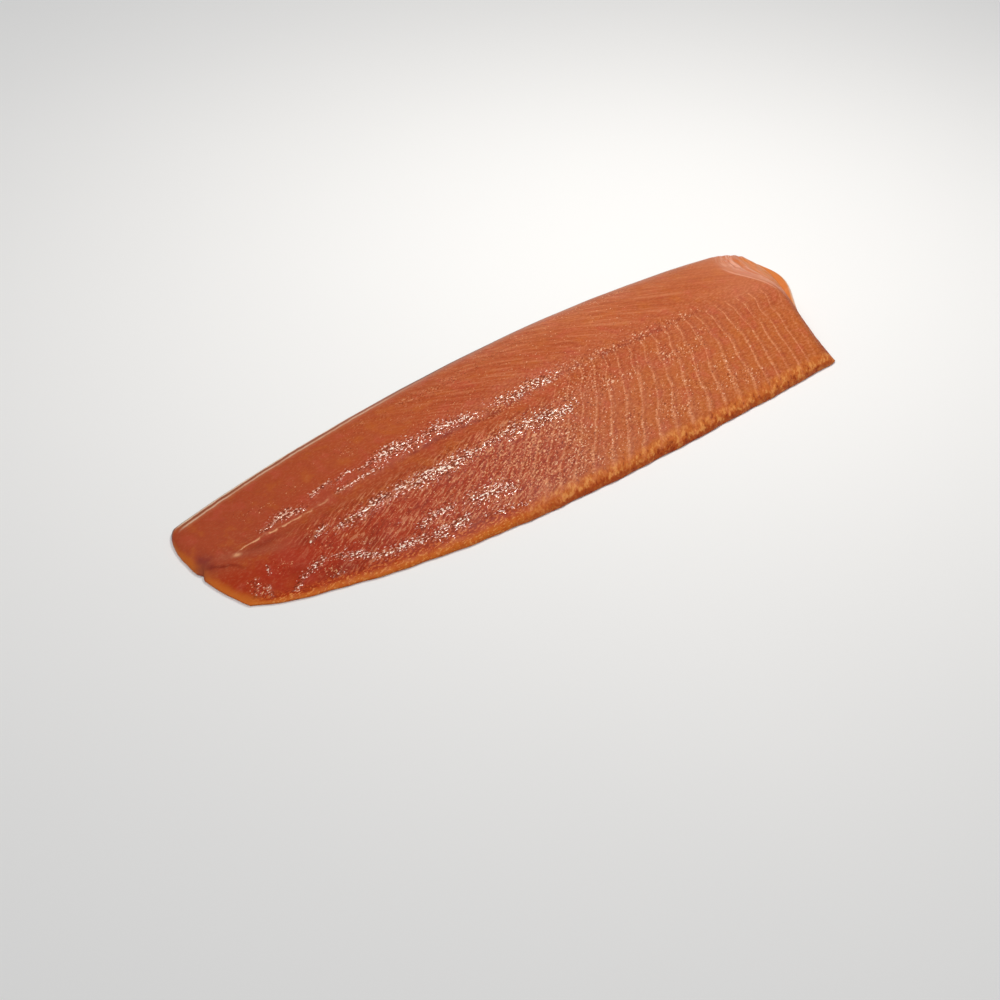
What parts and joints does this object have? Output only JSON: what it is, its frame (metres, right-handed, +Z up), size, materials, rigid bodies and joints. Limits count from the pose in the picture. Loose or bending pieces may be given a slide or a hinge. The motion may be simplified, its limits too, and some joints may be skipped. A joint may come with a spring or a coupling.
{
  "type": "smoked salmon side",
  "caption": "Whole side of smoked salmon: a long boneless fillet, thick along the back, thin at belly and tail, with slanted flake seams, lying flat on its skin side.",
  "frame": {"origin": "middle of the flat underside, at the centre of the outline's bounding box", "axes": "+X along the side towards the head end, +Y across it towards the back of the fish, +Z up through its thickness"},
  "size_m": [0.5566, 0.1792, 0.0258],
  "materials": {
    "cured_flesh": "moist, oily sheen"
  },
  "bodies": {
    "root": {"smoked_salmon_side": "cured_flesh"}
  },
  "joints": []
}
